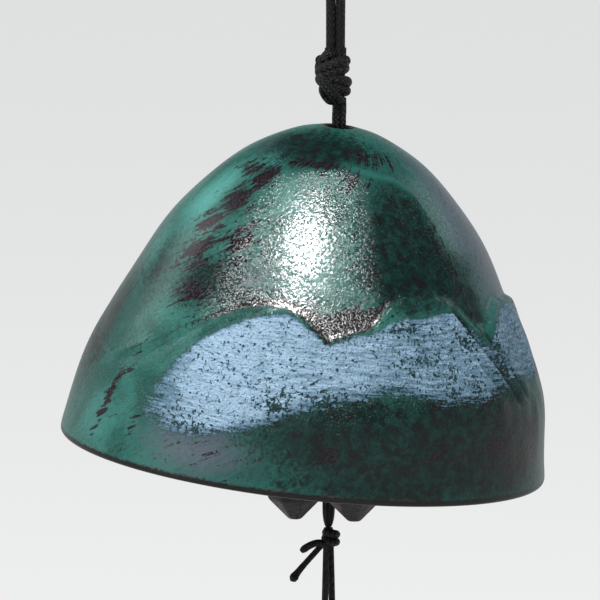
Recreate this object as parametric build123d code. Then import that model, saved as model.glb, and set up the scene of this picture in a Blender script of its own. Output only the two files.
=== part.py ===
from build123d import *
import math
import os

# Furin wind bell in cast iron: a bell, its knotted cord, the clapper and the paper strip.
# Millimetres, Z up. The origin is the inner top of the hanging loop, where a hook carries it.
# The front of the bell, with the tallest peaks, looks along -Y.

# Bell
rim_diameter = 81.0
bell_height = 55.4
wall = 2.6
crown_thickness = 2.8
crown_flat_width = 0.7
crown_hole_clearance = 1.1
rim_chamfer = 0.6
bell_tilt = 6.3

# Raised mountains on the bell
range_raise = 1.0
summit_raise = 0.55

# Hanging loop, the knot above the crown and the knot inside it
cord_diameter = 1.6
pair_gap = 0.1
hook_diameter = 6.0
loop_height = 34.3
loop_spread = 20.0
top_knot_height = 8.2
top_knot_width = 5.9
neck_diameter = 2.4
neck_length = 4.2
neck_offset = 0.6
stopper_height = 5.2
stopper_overlap = 0.8
stopper_seat_margin = 0.5

# Clapper, its cord and the knot in its cup
clapper_cord_diameter = 2.1
clapper_cord_length = 57.0
clapper_cord_lean = 0.7
clapper_width = 24.4
clapper_height = 12.5
clapper_lift = 1.1
clapper_turn = 37.0
clapper_bore_clearance = 0.3
lobe_count = 4
lobe_sides = 8
lobe_width = 10.4
hub_diameter = 11.0
hub_recess = 3.0
cup_depth = 5.6
cup_clearance = 0.7
cup_knot_height = 3.2
cup_knot_overlap = 0.75

# Tie under the clapper with its two cut ends
tie_height = 3.8
tie_width = 3.1
short_end_diameter = 1.2
long_end_diameter = 1.0
long_end_blob_diameter = 1.6

# Paper strip and the cord that it hangs on
strip_cord_diameter = 1.1
strip_cord_length = 17.4
strip_cord_gap = 0.05
strip_fold_diameter = 1.5
strip_width = 42.0
strip_length = 110.0
strip_thickness = 0.4
strip_hole_clearance = 1.05
strip_hole_edge = 4.5
strip_turn = 50.0

# Gap at the round end of a cord that swings, gap under a seated knot, and overrun of every cut
end_gap = 0.15
seat_gap = 0.1
overrun = 1.0

# Side of the bell, as shares of the rim's radius and of the height above the rim
side_shares = [
    (1.0, 0.016),
    (0.945, 0.218),
    (0.866, 0.372),
    (0.766, 0.523),
    (0.654, 0.679),
    (0.52, 0.801),
    (0.367, 0.906),
    (0.193, 0.976),
]
# Shares of its raise that each mountain layer has at the points of the side
range_raise_shares = [-0.6, 0.35, 0.8, 1.0, 1.0, 1.0, 1.0, 1.0]
summit_raise_shares = [-2.0, -1.6, -1.0, -0.25, 0.7, 1.0, 1.0, 1.0]

# Ridge of the mountain range: degrees to the right of the front, share of the bell's height
range_ridge_shares = [
    (-160, 0.44),
    (-142, 0.51),
    (-124, 0.42),
    (-108, 0.34),
    (-89, 0.385),
    (-76, 0.31),
    (-62, 0.29),
    (-48, 0.36),
    (-36, 0.44),
    (-22, 0.515),
    (-12, 0.53),
    (-6, 0.51),
    (2, 0.45),
    (6, 0.47),
    (15, 0.50),
    (20, 0.535),
    (26, 0.59),
    (32, 0.585),
    (38, 0.57),
    (44, 0.592),
    (49, 0.578),
    (57, 0.46),
    (61, 0.50),
    (67, 0.545),
    (76, 0.57),
    (90, 0.555),
    (104, 0.50),
    (122, 0.56),
    (138, 0.46),
    (158, 0.55),
    (180, 0.47),
]
# Outline of the flat-topped summit that stands behind the range
summit_ridge_shares = [
    (-130, 0.40),
    (-96, 0.48),
    (-84, 0.60),
    (-68, 0.70),
    (-54, 0.775),
    (-41, 0.845),
    (-33, 0.89),
    (-18, 0.905),
    (4, 0.915),
    (25, 0.895),
    (37, 0.885),
    (45, 0.855),
    (48, 0.785),
    (50, 0.67),
    (53, 0.50),
    (120, 0.40),
    (180, 0.40),
]
ridge_centre_share = 0.3
ridge_reach_share = 1.4

# Half outline of one clapper lobe from the top down, as shares of its half width and its height
lobe_shares = [(0.62, 1), (0.93, 0.78), (1, 0.52), (0.82, 0.28), (0.2, 0)]
hub_top_share = 0.95

# Wraps of each knot: shares of its height and of its width aside, then lean and turn in degrees
top_knot_shares = [(0.78, -0.12, -24, 10), (0.5, -0.07, 22, 72), (0.22, 0.05, -20, 130)]
stopper_shares = [(0.7, 0.0, 14, 20), (0.32, 0.0, -14, 80)]
cup_knot_shares = [(0.5, 0.0, 10, 0)]
tie_shares = [(0.62, 0.12, -18, 0), (0.3, 0.0, 16, 70)]
core_width_share = 0.66
core_shoulder_share = 0.2
cup_knot_end_share = 0.75

# Routes of the tie's two cut ends, from the middle of its lower face
short_end_route = [(-0.2, -0.8, 0.85), (-1.5, -0.95, 1.25), (-2.9, -1.0, 0.85), (-4.3, -0.9, -0.1)]
long_end_route = [(-0.9, 0.35, 1.2), (-5.6, 0.1, -5.0)]

# Largest arc of a cord's corner, as a share of the shorter run beside it, and corners round a hook
arc_share = 0.45
hook_corners = 4


# Sizes that follow from the fits
rim_radius = rim_diameter / 2
crown_hole_radius = neck_diameter / 2 + crown_hole_clearance
crown_flat_radius = crown_hole_radius + crown_flat_width
stopper_radius = crown_hole_radius + stopper_overlap
stopper_seat_radius = stopper_radius + stopper_seat_margin
clapper_cord_radius = clapper_cord_diameter / 2
clapper_bore_radius = clapper_cord_radius + clapper_bore_clearance
cup_knot_radius = clapper_bore_radius + cup_knot_overlap
cup_radius = cup_knot_radius + cup_clearance
strip_hole_radius = strip_cord_diameter / 2 + strip_hole_clearance
strip_fold_radius = (strip_fold_diameter + strip_cord_diameter) / 2

# Where the pieces hang: crown, upper end of the clapper's cord, tie and strip
crown = Vector(neck_offset, 0, -loop_height)
bell_place = Pos(crown) * Rot(0, bell_tilt, 0)
top_knot_bottom = crown.Z + neck_length
top_knot_top = top_knot_bottom + top_knot_height
stopper_top = -crown_thickness - seat_gap
stopper_bottom = stopper_top - stopper_height
clapper_pivot = (bell_place * Pos(0, 0, stopper_bottom - end_gap - clapper_cord_radius)).position
clapper_place = Pos(clapper_pivot) * Rot(0, clapper_cord_lean, 0)
clapper_bottom = clapper_lift - clapper_cord_length
tie_pivot = (clapper_place * Pos(0, 0, -clapper_cord_length)).position
tie_bottom = tie_pivot - Vector(0, 0, clapper_cord_radius + end_gap + tie_height)
strand_top = tie_bottom - Vector(0, 0, seat_gap)
strip_fold = strand_top - Vector(0, 0, strip_cord_length)
strip_side = Vector(1, 0, 0).rotate(Axis.Z, strip_turn)


def rod(radius, length):
    """A round rod standing on its lower end."""
    return Cylinder(radius, length, align=(Align.CENTER, Align.CENTER, Align.MIN))


def turned(*lines):
    """Solid of revolution about Z from the lines of a closed half section."""
    return revolve(make_face(Plane.XZ * (Curve() + list(lines))), Axis.Z)


# Cords

def arc_radii(points):
    """Radius of each corner of a cord: as large as the two runs beside it allow."""
    radii = []
    for before, corner, after in zip(points, points[1:], points[2:]):
        first = corner - before
        second = after - corner
        half_turn = math.radians(first.get_angle(second) / 2)
        radii.append(arc_share * min(first.length, second.length) / math.tan(half_turn))
    return radii


def cord_tube(points, diameter, name):
    """A round cord of straight runs joined by tangent arcs."""
    radii = arc_radii(points)
    path = FilletPolyline(*points, radius=radii)
    section = Plane(origin=points[0], z_dir=points[1] - points[0]) * Circle(diameter / 2)
    tube = sweep(section, path=path)
    full = math.pi * (diameter / 2) ** 2 * path.length
    print(name, "points", [[round(value, 3) for value in point] for point in points])
    print(name, "length", round(path.length, 2), "radii", [round(radius, 2) for radius in radii])
    print(name, "volume over section times length", round(tube.volume / full, 4))
    return tube


def loop_corners(radius, half_spread):
    """Corners of a loop round its hook at zero, from -X over the top to +X."""
    turn = (180 + 2 * half_spread) / hook_corners
    corner = Vector(-radius / math.cos(math.radians(turn / 2)), 0, 0)
    first = turn / 2 - half_spread
    return [corner.rotate(Axis.Y, first + index * turn) for index in range(hook_corners)]


# Knots

def wrap_disc(radius, thickness):
    """One wrap of cord round a knot: a disc with a round rim."""
    half = thickness / 2
    flat = radius - half
    rim = CenterArc((flat, 0), half, -90, 180)
    return turned(Line((0, -half), (flat, -half)), rim, Polyline((flat, half), (0, half), (0, -half)))


def knot(height, radius, cord, wrap_shares, low_radius, high_radius):
    """A tight knot standing on its lower end: a core with leaning wraps of cord round it."""
    core_radius = radius * core_width_share
    shoulder = height * core_shoulder_share
    outline = Polyline(
        (0, 0),
        (low_radius, 0),
        (core_radius, shoulder),
        (core_radius, height - shoulder),
        (high_radius, height),
        (0, height),
        close=True,
    )
    body = turned(outline)
    for up_share, aside_share, lean, turn in wrap_shares:
        middle = Pos(aside_share * radius * 2, 0, up_share * height)
        body += middle * Rot(0, 0, turn) * Rot(lean, 0, 0) * wrap_disc(radius, cord)
    return body


# Bell, modelled upright with the top of its crown at zero

side = [(radius * rim_radius, (height - 1) * bell_height) for radius, height in side_shares]


def offset_side(distances):
    """Points of the bell's side moved square to it, outwards where the distance is positive."""
    moved = []
    last = len(side) - 1
    for index, (point, distance) in enumerate(zip(side, distances)):
        before = side[max(index - 1, 0)]
        after = side[min(index + 1, last)]
        along = Vector(after[0] - before[0], after[1] - before[1]).normalized()
        moved.append((point[0] + along.Y * distance, point[1] - along.X * distance))
    return moved


def dome(points, top_radius, top, foot_radius, foot):
    """A solid dome with a flat top, from the points of its side and its foot."""
    curve = Spline(*points, (top_radius, top))
    frame = Polyline((top_radius, top), (0, top), (0, foot), (foot_radius, foot), points[0])
    return turned(curve, frame)


def side_radius_share(height_share):
    """Share of the rim's radius that the bell's side has at a share of its height."""
    for (low_radius, low), (high_radius, high) in zip(side_shares, side_shares[1:]):
        if low <= height_share <= high:
            return low_radius + (high_radius - low_radius) * (height_share - low) / (high - low)
    return high_radius


def below_ridge(ridge_shares):
    """Everything below a ridge line round the bell: a fan of flat facets from the bell's axis."""
    centre = Vector(0, 0, (ridge_centre_share - 1) * bell_height)
    tops = []
    for azimuth, height_share in ridge_shares:
        climb = (height_share - ridge_centre_share) * bell_height
        top = Vector(0, -side_radius_share(height_share) * rim_radius, climb)
        top *= ridge_reach_share / side_radius_share(height_share)
        tops.append(centre + top.rotate(Axis.Z, azimuth))
    floor = -bell_height - overrun
    feet = [Vector(top.X, top.Y, floor) for top in tops]
    faces = [Face(Wire.make_polygon(feet))]
    for index, top in enumerate(tops):
        after = (index + 1) % len(tops)
        faces.append(Face(Wire.make_polygon([centre, top, tops[after]])))
        faces.append(Face(Wire.make_polygon([top, feet[index], feet[after], tops[after]])))
    return Solid(Shell(faces))


def mountain_layer(raised, raise_shares, ridge_shares):
    """The bell's dome grown by a raise, up to its ridge line."""
    points = offset_side([share * raised for share in raise_shares])
    layer = dome(points, crown_flat_radius, raised, rim_radius - rim_chamfer, -bell_height)
    return layer & below_ridge(ridge_shares)


def make_bell():
    """The cast bell with its two mountain layers, hollow below, with a seat and a hole in its crown."""
    body = dome(side, crown_flat_radius, 0, rim_radius - rim_chamfer, -bell_height)
    body += mountain_layer(range_raise, range_raise_shares, range_ridge_shares)
    body += mountain_layer(summit_raise, summit_raise_shares, summit_ridge_shares)
    inner = offset_side([-wall for point in side])[:-1]
    body -= dome(inner, stopper_seat_radius, -crown_thickness, inner[0][0], -bell_height - overrun)
    body -= Cylinder(crown_hole_radius, bell_height)
    return bell_place * body


# Cord above the bell and the knot inside its crown

def make_hanging_loop():
    """The loop: two strands side by side above the knot, opening round the hook at the top."""
    half_pair = (cord_diameter + pair_gap) / 2
    bend_radius = (hook_diameter + cord_diameter) / 2
    hook = Vector(0, 0, -hook_diameter / 2)
    spread = math.radians(loop_spread)
    slope = (bend_radius * math.cos(spread) - half_pair) / math.tan(spread)
    parting = hook.Z - bend_radius * math.sin(spread) - slope
    low = top_knot_top + seat_gap
    route = [Vector(-half_pair, 0, low), Vector(-half_pair, 0, parting)]
    route += [hook + corner for corner in loop_corners(bend_radius, loop_spread)]
    route += [Vector(half_pair, 0, parting), Vector(half_pair, 0, low)]
    return cord_tube(route, cord_diameter, "hanging_loop")


def make_top_knot():
    """The knot that gathers the loop above the crown."""
    low_radius = neck_offset + neck_diameter / 2
    high_radius = cord_diameter + pair_gap
    lump = knot(
        top_knot_height, top_knot_width / 2, cord_diameter, top_knot_shares, low_radius, high_radius
    )
    return Pos(0, 0, top_knot_bottom) * lump


def make_neck_cord():
    """The doubled cord between the knot and the crown, round at the end where the bell swings."""
    radius = neck_diameter / 2
    return Pos(crown) * (rod(radius, neck_length) + Sphere(radius))


def make_stopper_knot():
    """The knot that carries the bell from inside, with the cord that comes through the hole."""
    neck_radius = neck_diameter / 2
    neck = rod(neck_radius, -neck_radius - end_gap - stopper_top)
    lump = knot(
        stopper_height, stopper_radius, cord_diameter, stopper_shares, clapper_cord_diameter, neck_diameter
    )
    return bell_place * (Pos(0, 0, stopper_bottom) * lump + Pos(0, 0, stopper_top) * neck)


# Clapper, modelled hanging below the upper end of its cord at zero

def make_clapper_cord():
    """The cord from the stopper knot through the clapper to the tie, round at both ends."""
    low = Pos(0, 0, -clapper_cord_length)
    ball = Sphere(clapper_cord_radius)
    return clapper_place * (low * rod(clapper_cord_radius, clapper_cord_length) + ball + low * ball)


def faceted_lobe():
    """One lobe of flat facets, between polygons at the heights of its half outline."""
    flat_outwards = 180 / lobe_sides
    rings = [
        Pos(0, 0, up * clapper_height)
        * RegularPolygon(across * lobe_width / 2, lobe_sides, major_radius=False, rotation=flat_outwards)
        for across, up in lobe_shares
    ]
    return loft(rings, ruled=True)


def make_clapper():
    """Faceted lobes round a bored hub, with a cup underneath for the knot that carries them."""
    lobe = faceted_lobe()
    reach = (clapper_width - lobe_width) / 2
    hub = rod(hub_diameter / 2, clapper_height * hub_top_share - hub_recess)
    body = Pos(0, 0, hub_recess) * hub
    for index in range(lobe_count):
        body += Rot(0, 0, clapper_turn + index * 360 / lobe_count) * Pos(reach, 0, 0) * lobe
    body -= rod(clapper_bore_radius, clapper_height + overrun)
    body -= Pos(0, 0, -overrun) * rod(cup_radius, cup_depth + overrun)
    return clapper_place * Pos(0, 0, clapper_bottom) * body


def make_cup_knot():
    """The knot on the cord in the clapper's cup."""
    end_radius = clapper_cord_diameter * cup_knot_end_share
    lump = knot(
        cup_knot_height, cup_knot_radius, clapper_cord_diameter, cup_knot_shares, end_radius, end_radius
    )
    lump -= Pos(0, 0, -overrun) * rod(clapper_cord_radius, cup_knot_height + overrun * 2)
    return clapper_place * Pos(0, 0, clapper_bottom + cup_depth - seat_gap - cup_knot_height) * lump


# Tie and paper strip

def make_tie_knot():
    """The knot that ties the strip's cord to the clapper's."""
    low_radius = strip_cord_diameter + strip_cord_gap
    lump = knot(
        tie_height, tie_width / 2, strip_cord_diameter, tie_shares, low_radius, clapper_cord_radius
    )
    return Pos(tie_bottom) * lump


def make_short_end(tie):
    """The short cut end of the tie, which curls over to the left."""
    route = [tie_bottom + Vector(point) for point in short_end_route]
    tube = cord_tube(route, short_end_diameter, "tie_short_end")
    return tube + Pos(route[-1]) * Sphere(short_end_diameter / 2) - tie


def make_long_end(tie):
    """The long cut end of the tie, straight down to the left, with a frayed blob at its tip."""
    start, tip = [tie_bottom + Vector(point) for point in long_end_route]
    shaft = Plane(origin=start, z_dir=tip - start) * rod(long_end_diameter / 2, (tip - start).length)
    return shaft + Pos(tip) * Sphere(long_end_blob_diameter / 2) - tie


def make_strip_cord():
    """The strip's cord: down from the tie, through the hole in the strip and up again."""
    half_pair = (strip_cord_diameter + strip_cord_gap) / 2
    spread = math.degrees(math.asin((strip_fold_radius - half_pair) / strip_cord_length))
    under = [
        strip_fold + strip_side * corner.X - Vector(0, 0, corner.Z)
        for corner in loop_corners(strip_fold_radius, spread)
    ]
    route = [strand_top - strip_side * half_pair] + under + [strand_top + strip_side * half_pair]
    return cord_tube(route, strip_cord_diameter, "strip_cord")


def make_paper_strip():
    """Plain paper strip, hanging on its cord by a punched hole."""
    hole_top = strip_fold.Z - strip_fold_radius + strip_cord_diameter / 2 + end_gap
    sheet = Pos(0, 0, hole_top + strip_hole_edge - strip_length / 2)
    sheet *= Box(strip_thickness, strip_width, strip_length)
    punch = Pos(0, 0, hole_top - strip_hole_radius) * Rot(0, 90, 0)
    punch *= Cylinder(strip_hole_radius, strip_width)
    return Pos(tie_pivot.X, tie_pivot.Y, 0) * Rot(0, 0, strip_turn) * (sheet - punch)


tie = make_tie_knot()
nodes = {
    "hanging_loop": make_hanging_loop(),
    "top_knot": make_top_knot(),
    "neck_cord": make_neck_cord(),
    "bell": make_bell(),
    "stopper_knot": make_stopper_knot(),
    "clapper_cord": make_clapper_cord(),
    "clapper": make_clapper(),
    "cup_knot": make_cup_knot(),
    "tie_knot": tie,
    "tie_short_end": make_short_end(tie),
    "tie_long_end": make_long_end(tie),
    "strip_cord": make_strip_cord(),
    "paper_strip": make_paper_strip(),
}
os.makedirs("parts", exist_ok=True)
for name, shape in nodes.items():
    export_step(shape, f"parts/{name}.step")
print("crown", crown, "clapper pivot", clapper_pivot, "tie pivot", tie_pivot)
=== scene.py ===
from functools import partial
import math
import bpy
from mathutils import Matrix, Vector, noise


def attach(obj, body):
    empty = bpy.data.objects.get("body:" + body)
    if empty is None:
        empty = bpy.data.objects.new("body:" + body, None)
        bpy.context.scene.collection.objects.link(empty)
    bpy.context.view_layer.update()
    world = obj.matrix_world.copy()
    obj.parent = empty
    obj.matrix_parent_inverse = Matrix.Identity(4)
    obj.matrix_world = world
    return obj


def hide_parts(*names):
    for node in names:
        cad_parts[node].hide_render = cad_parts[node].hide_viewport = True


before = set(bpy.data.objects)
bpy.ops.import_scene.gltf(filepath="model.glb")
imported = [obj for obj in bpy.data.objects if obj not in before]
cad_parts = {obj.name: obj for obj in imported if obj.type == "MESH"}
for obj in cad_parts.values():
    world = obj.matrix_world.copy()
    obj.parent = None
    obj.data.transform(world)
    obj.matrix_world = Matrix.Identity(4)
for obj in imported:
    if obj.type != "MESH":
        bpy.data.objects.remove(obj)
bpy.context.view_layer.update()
print("frame loaded")

millimetre = 0.001


# Modelling by hand: small helpers

def pickOnly(piece):
    bpy.ops.object.select_all(action="DESELECT")
    piece.select_set(True)
    bpy.context.view_layer.objects.active = piece


def applyModifiers(piece):
    pickOnly(piece)
    for modifier in list(piece.modifiers):
        bpy.ops.object.modifier_apply(modifier=modifier.name)


def setDown(piece, matrix):
    # the place goes into the mesh, so that the object itself sits at the origin
    piece.matrix_world = matrix
    pickOnly(piece)
    bpy.ops.object.transform_apply(location=True, rotation=True, scale=True)


def joined(name, pieces):
    bpy.ops.object.select_all(action="DESELECT")
    for piece in pieces:
        piece.select_set(True)
    bpy.context.view_layer.objects.active = pieces[0]
    bpy.ops.object.join()
    pieces[0].name = name
    return pieces[0]


def leaned(place, degrees):
    return Matrix.Translation(place) @ Matrix.Rotation(math.radians(degrees), 4, "Y")


def finishPiece(piece, node, body):
    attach(piece, body)
    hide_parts(node)


def dress(piece, material):
    piece.data.materials.clear()
    piece.data.materials.append(material)


def spinOutline(name, outline, steps):
    # a circle is pulled into the half outline and spun round the upright axis
    bpy.ops.object.select_all(action="DESELECT")
    bpy.ops.mesh.primitive_circle_add(vertices=len(outline), radius=0.01)
    piece = bpy.context.object
    piece.name = name
    for vertex, (across, up) in zip(piece.data.vertices, outline):
        vertex.co = (across, 0, up)
    bpy.ops.object.mode_set(mode="EDIT")
    bpy.ops.mesh.select_mode(type="VERT")
    bpy.ops.mesh.select_all(action="SELECT")
    bpy.ops.mesh.spin(steps=steps, angle=math.tau, center=(0, 0, 0), axis=(0, 0, 1))
    bpy.ops.mesh.select_all(action="SELECT")
    bpy.ops.mesh.remove_doubles(threshold=1e-6)
    bpy.ops.mesh.normals_make_consistent(inside=False)
    bpy.ops.object.mode_set(mode="OBJECT")
    return piece


def smoothShade(piece, degrees=180):
    pickOnly(piece)
    if degrees >= 180:
        bpy.ops.object.shade_smooth()
    else:
        bpy.ops.object.shade_smooth_by_angle(angle=math.radians(degrees))


# Curves through a few points, and soft steps

def smoothLine(points, between):
    # a smooth line through the points, with this many steps between two of them
    ends = [tuple(2 * a - b for a, b in zip(points[0], points[1]))]
    ends += list(points) + [tuple(2 * a - b for a, b in zip(points[-1], points[-2]))]
    line = []
    for p, q, r, s in zip(ends, ends[1:], ends[2:], ends[3:]):
        for step in range(between):
            t = step / between
            line.append(tuple(
                0.5 * (2 * b + (c - a) * t + (2 * a - 5 * b + 4 * c - d) * t ** 2
                       + (3 * b - a - 3 * c + d) * t ** 3)
                for a, b, c, d in zip(p, q, r, s)))
    return line + [tuple(points[-1])]


def softStep(value, low, high):
    t = min(max((value - low) / (high - low), 0), 1)
    return t * t * (3 - 2 * t)


def hump(value, middle, width):
    return math.exp(-((value - middle) / width) ** 2)


def alongTable(table, azimuth):
    # the tables run round the bell in degrees, so they close on themselves
    before = table[-1][0] - 360, table[-1][1]
    for place, value in table + [(table[0][0] + 360, table[0][1])]:
        if azimuth <= place:
            share = (azimuth - before[0]) / max(place - before[0], 1e-6)
            return before[1] + (value - before[1]) * share
        before = place, value
    return before[1]


# Shader helpers

def newMaterial(name, roughness, coat=0.0, coatRoughness=0.1, specular=0.5, coatIor=1.5):
    material = bpy.data.materials.new(name)
    material.use_nodes = True
    tree = material.node_tree
    shader = tree.nodes["Principled BSDF"]
    shader.inputs["Roughness"].default_value = roughness
    shader.inputs["Coat Weight"].default_value = coat
    shader.inputs["Coat Roughness"].default_value = coatRoughness
    shader.inputs["Specular IOR Level"].default_value = specular
    shader.inputs["Coat IOR"].default_value = coatIor
    return material, tree, shader


def feed(tree, socket, source):
    if isinstance(source, bpy.types.NodeSocket):
        tree.links.new(source, socket)
    elif isinstance(source, tuple) and socket.type == "RGBA":
        socket.default_value = source + (1,)
    else:
        socket.default_value = source


def maths(tree, operation, *values):
    node = tree.nodes.new("ShaderNodeMath")
    node.operation = operation
    for socket, value in zip(node.inputs, values):
        feed(tree, socket, value)
    return node.outputs[0]


def vectors(tree, operation, *values):
    node = tree.nodes.new("ShaderNodeVectorMath")
    node.operation = operation
    for socket, value in zip(node.inputs, values):
        feed(tree, socket, value)
    return node.outputs[0]


def stretched(tree, vector, scale):
    return vectors(tree, "MULTIPLY", vector, scale)


def graded(tree, value, low, high, start=0.0, end=1.0):
    node = tree.nodes.new("ShaderNodeMapRange")
    node.interpolation_type = "SMOOTHSTEP"
    for socket, given in zip(node.inputs, (value, low, high, start, end)):
        feed(tree, socket, given)
    return node.outputs[0]


def noiseOn(tree, vector, scale, detail=3.0, roughness=0.55, distortion=0.0):
    node = tree.nodes.new("ShaderNodeTexNoise")
    feed(tree, node.inputs["Vector"], vector)
    given = {"Scale": scale, "Detail": detail, "Roughness": roughness, "Distortion": distortion}
    for name, value in given.items():
        node.inputs[name].default_value = value
    return node.outputs[0]


def mixed(tree, factor, first, second):
    node = tree.nodes.new("ShaderNodeMix")
    node.data_type = "RGBA"
    feed(tree, node.inputs[0], factor)
    feed(tree, node.inputs[6], first)
    feed(tree, node.inputs[7], second)
    return node.outputs[2]


def bumped(tree, height, distance, under=None):
    node = tree.nodes.new("ShaderNodeBump")
    node.inputs["Strength"].default_value = 1.0
    node.inputs["Distance"].default_value = distance
    feed(tree, node.inputs["Height"], height)
    if under is not None:
        tree.links.new(under, node.inputs["Normal"])
    return node.outputs[0]


def painted(tree, name):
    node = tree.nodes.new("ShaderNodeAttribute")
    node.attribute_name = name
    return node.outputs["Fac"]


def seenRays(tree):
    # 1 for what the camera sees, also by a reflection or through glass
    rays = tree.nodes.new("ShaderNodeLightPath")
    seen = maths(tree, "MAXIMUM", rays.outputs["Is Camera Ray"], rays.outputs["Is Glossy Ray"])
    return maths(tree, "MAXIMUM", seen, rays.outputs["Is Transmission Ray"])


def objectPlace(tree):
    return tree.nodes.new("ShaderNodeTexCoord").outputs["Object"]


def paint(piece, name, values):
    layer = piece.data.attributes.new(name, "FLOAT", "POINT")
    layer.data.foreach_set("value", values)


# Bell

bellSize = {
    "radius": 0.0405,
    "height": 0.0554,
    "wall": 0.0026,
    "crownThickness": 0.0028,
    "crownFlat": 0.0030,
    "crownHole": 0.0023,
    "crownSeat": 0.0036,
    "holeEdge": 0.0002,
    "innerGap": 0.0008,
    "rimRound": 0.0007,
    "tilt": 6.3,
    "crown": (0.0006, 0, -0.0343),
    "steps": 128,
    "outerDepth": 0.0012,
    "outerHole": 0.0028,
    "foldRadius": 0.034,
    "sunk": 0.4,
    "reliefSpan": 2.4,
}
# the outer side, as shares of the bell's radius and height
bellSide = [(1.0, 0.016), (0.945, 0.218), (0.866, 0.372), (0.766, 0.523), (0.654, 0.679), (0.52, 0.801),
            (0.367, 0.906), (0.193, 0.976)]
# the tops of the front range and of the summit behind it, in degrees and shares of the bell's height
rangeRidge = [
    (-160, 0.44), (-142, 0.51), (-124, 0.42), (-108, 0.34), (-89, 0.385), (-76, 0.31), (-62, 0.29),
    (-48, 0.36), (-36, 0.44), (-22, 0.515), (-12, 0.53), (-6, 0.51), (2, 0.45), (6, 0.47), (15, 0.50),
    (20, 0.56), (25.5, 0.592), (32.5, 0.58), (37, 0.592), (42.5, 0.575), (48, 0.53), (55, 0.475), (60, 0.52),
    (67.5, 0.563), (76.5, 0.56), (90, 0.55), (104, 0.50), (122, 0.56), (138, 0.46), (158, 0.55), (180, 0.47)]
summitRidge = [
    (-130, 0.40), (-96, 0.48), (-84, 0.60), (-68, 0.70), (-54, 0.775), (-41, 0.845), (-33, 0.89),
    (-18, 0.905), (4, 0.915), (25, 0.895), (37, 0.885), (45, 0.855), (48, 0.785), (50, 0.67), (53, 0.50),
    (120, 0.40), (180, 0.40)]
# upper and lower edge of the dry-brushed snow, in millimetres above the rim
snowTop = [
    (-165, 14), (-150, 25), (-140, 27), (-124, 22), (-112, 12), (-56, 5), (-46, 13), (-38, 19.5),
    (-33, 22.3), (-26, 25.2), (-18, 27.4), (-10, 28.4), (-6, 27.6), (-1, 26.0), (3, 24.5), (9, 26.0),
    (15, 26.6), (20, 28.4), (26, 29.4), (34, 29.6), (42, 30.4), (48, 28.0), (53, 25.0), (56, 24.4),
    (60, 27.4), (67, 30.0), (76, 30.4), (90, 29.8), (104, 26.8), (122, 30.0), (138, 24.5), (158, 29.0),
    (176, 22)]
snowFoot = [
    (-165, 22), (-150, 17), (-140, 15), (-124, 14), (-112, 20), (-56, 9), (-46, 6.5), (-27, 7.2),
    (-14, 9.8), (-3, 13.2), (5, 14.9), (13, 15.8), (19, 17.0), (25, 16.7), (35, 15.6), (45, 15.4),
    (57, 16.5), (70, 17.5), (90, 17.0), (110, 16.0), (130, 17.0), (150, 18.0), (165, 20), (176, 24)]
# rubbed patches: degrees round the bell, millimetres above the rim, half widths, lean and strength
rubs = [
    (-14, 50.6, 20, 0.9, 0, 0.8), (-39, 47.6, 8, 2.4, 0, 0.95), (-46, 43.6, 8, 2.8, 0, 1.0),
    (-50, 39.6, 8, 3.2, 0, 0.95), (-47, 34.5, 8, 4.0, 0, 0.75), (-42, 29.0, 8, 3.0, 0, 0.7),
    (-54, 48.5, 12, 1.5, 0, 0.75), (-34, 38.5, 9, 6.0, 0, 0.6), (9, 48.6, 8, 2.0, 0, 0.7),
    (30, 52.0, 22, 1.4, 0, 0.6), (-58, 10.0, 1.6, 7.0, 0.42, 0.85), (-53, 17.0, 1.4, 3.5, 0.42, 0.5),
    (-47, 6.0, 1.6, 3.0, 0.42, 0.5), (-31, 4.5, 12, 2.4, 0, 0.25), (5, 7.7, 3.2, 2.0, 0, 0.75),
    (31, 8.0, 12, 3.5, 0, 0.4), (54, 9.5, 12, 5.5, 0, 0.6), (68, 9.0, 8, 5.0, 0, 0.5),
    (62, 20.5, 5, 4, 0, 0.4), (100, 12, 20, 5, 0, 0.5), (140, 38, 16, 6, 0, 0.55), (-120, 36, 14, 6, 0, 0.55),
    (-165, 12, 18, 5, 0, 0.55), (170, 46, 14, 4, 0, 0.55), (-95, 27, 7, 4, 0, 0.4)]
# places where the green is nearly black, partly dark paint and partly painted shade, in the same form
deepPaintAndShade = [
    (31, 40.5, 17, 8.5, 0, 1.35), (26, 34.0, 9, 3.0, 0, 1.1), (42, 35.0, 13, 4.0, 0, 1.2),
    (-20, 52.6, 60, 2.8, 0, 1.0), (12, 10.0, 26, 7.5, 0, 1.15), (22, 4.0, 34, 5.0, 0, 0.9),
    (46, 9.5, 32, 9.0, 0, 1.35), (-80, 20, 14, 14, 0, 0.75), (-62, 30, 12, 8, 0, 0.5),
    (-28, 29.5, 12, 2.5, 0, 0.7), (-38, 31, 13, 4.0, 0.8, 0.9), (34, 36.0, 22, 4.5, 0, 1.4),
    (33, 31.5, 14, 2.4, 0, 1.5), (53, 31.0, 6, 4.0, 0, 1.2), (-6, 51.6, 34, 1.0, 0, 0.7),
    (60, 22, 3, 5, 0, 0.5), (130, 12, 36, 7, 0, 0.8), (-130, 42, 22, 8, 0, 0.7),
    (-150, 10, 24, 6, 0, 0.7), (150, 44, 20, 6, 0, 0.8)]
# a purple-grey painted sheen, a reflection painted into the colour, in the same form
paintedSheens = [
    (-26, 32.5, 11, 4.5, 0.6, 0.55), (-27, 6.0, 16, 5.0, 0, 0.95), (2, 12.0, 14, 2.0, 0, 0.4),
    (76, 41, 24, 14, 0, 1.1), (92, 18, 16, 12, 0, 0.6), (-60, 52, 30, 2.0, 0, 0.5),
    (70, 8, 10, 6, 0, 0.45), (170, 30, 30, 9, 0, 0.7), (-125, 46, 20, 5, 0, 0.6)]
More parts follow.
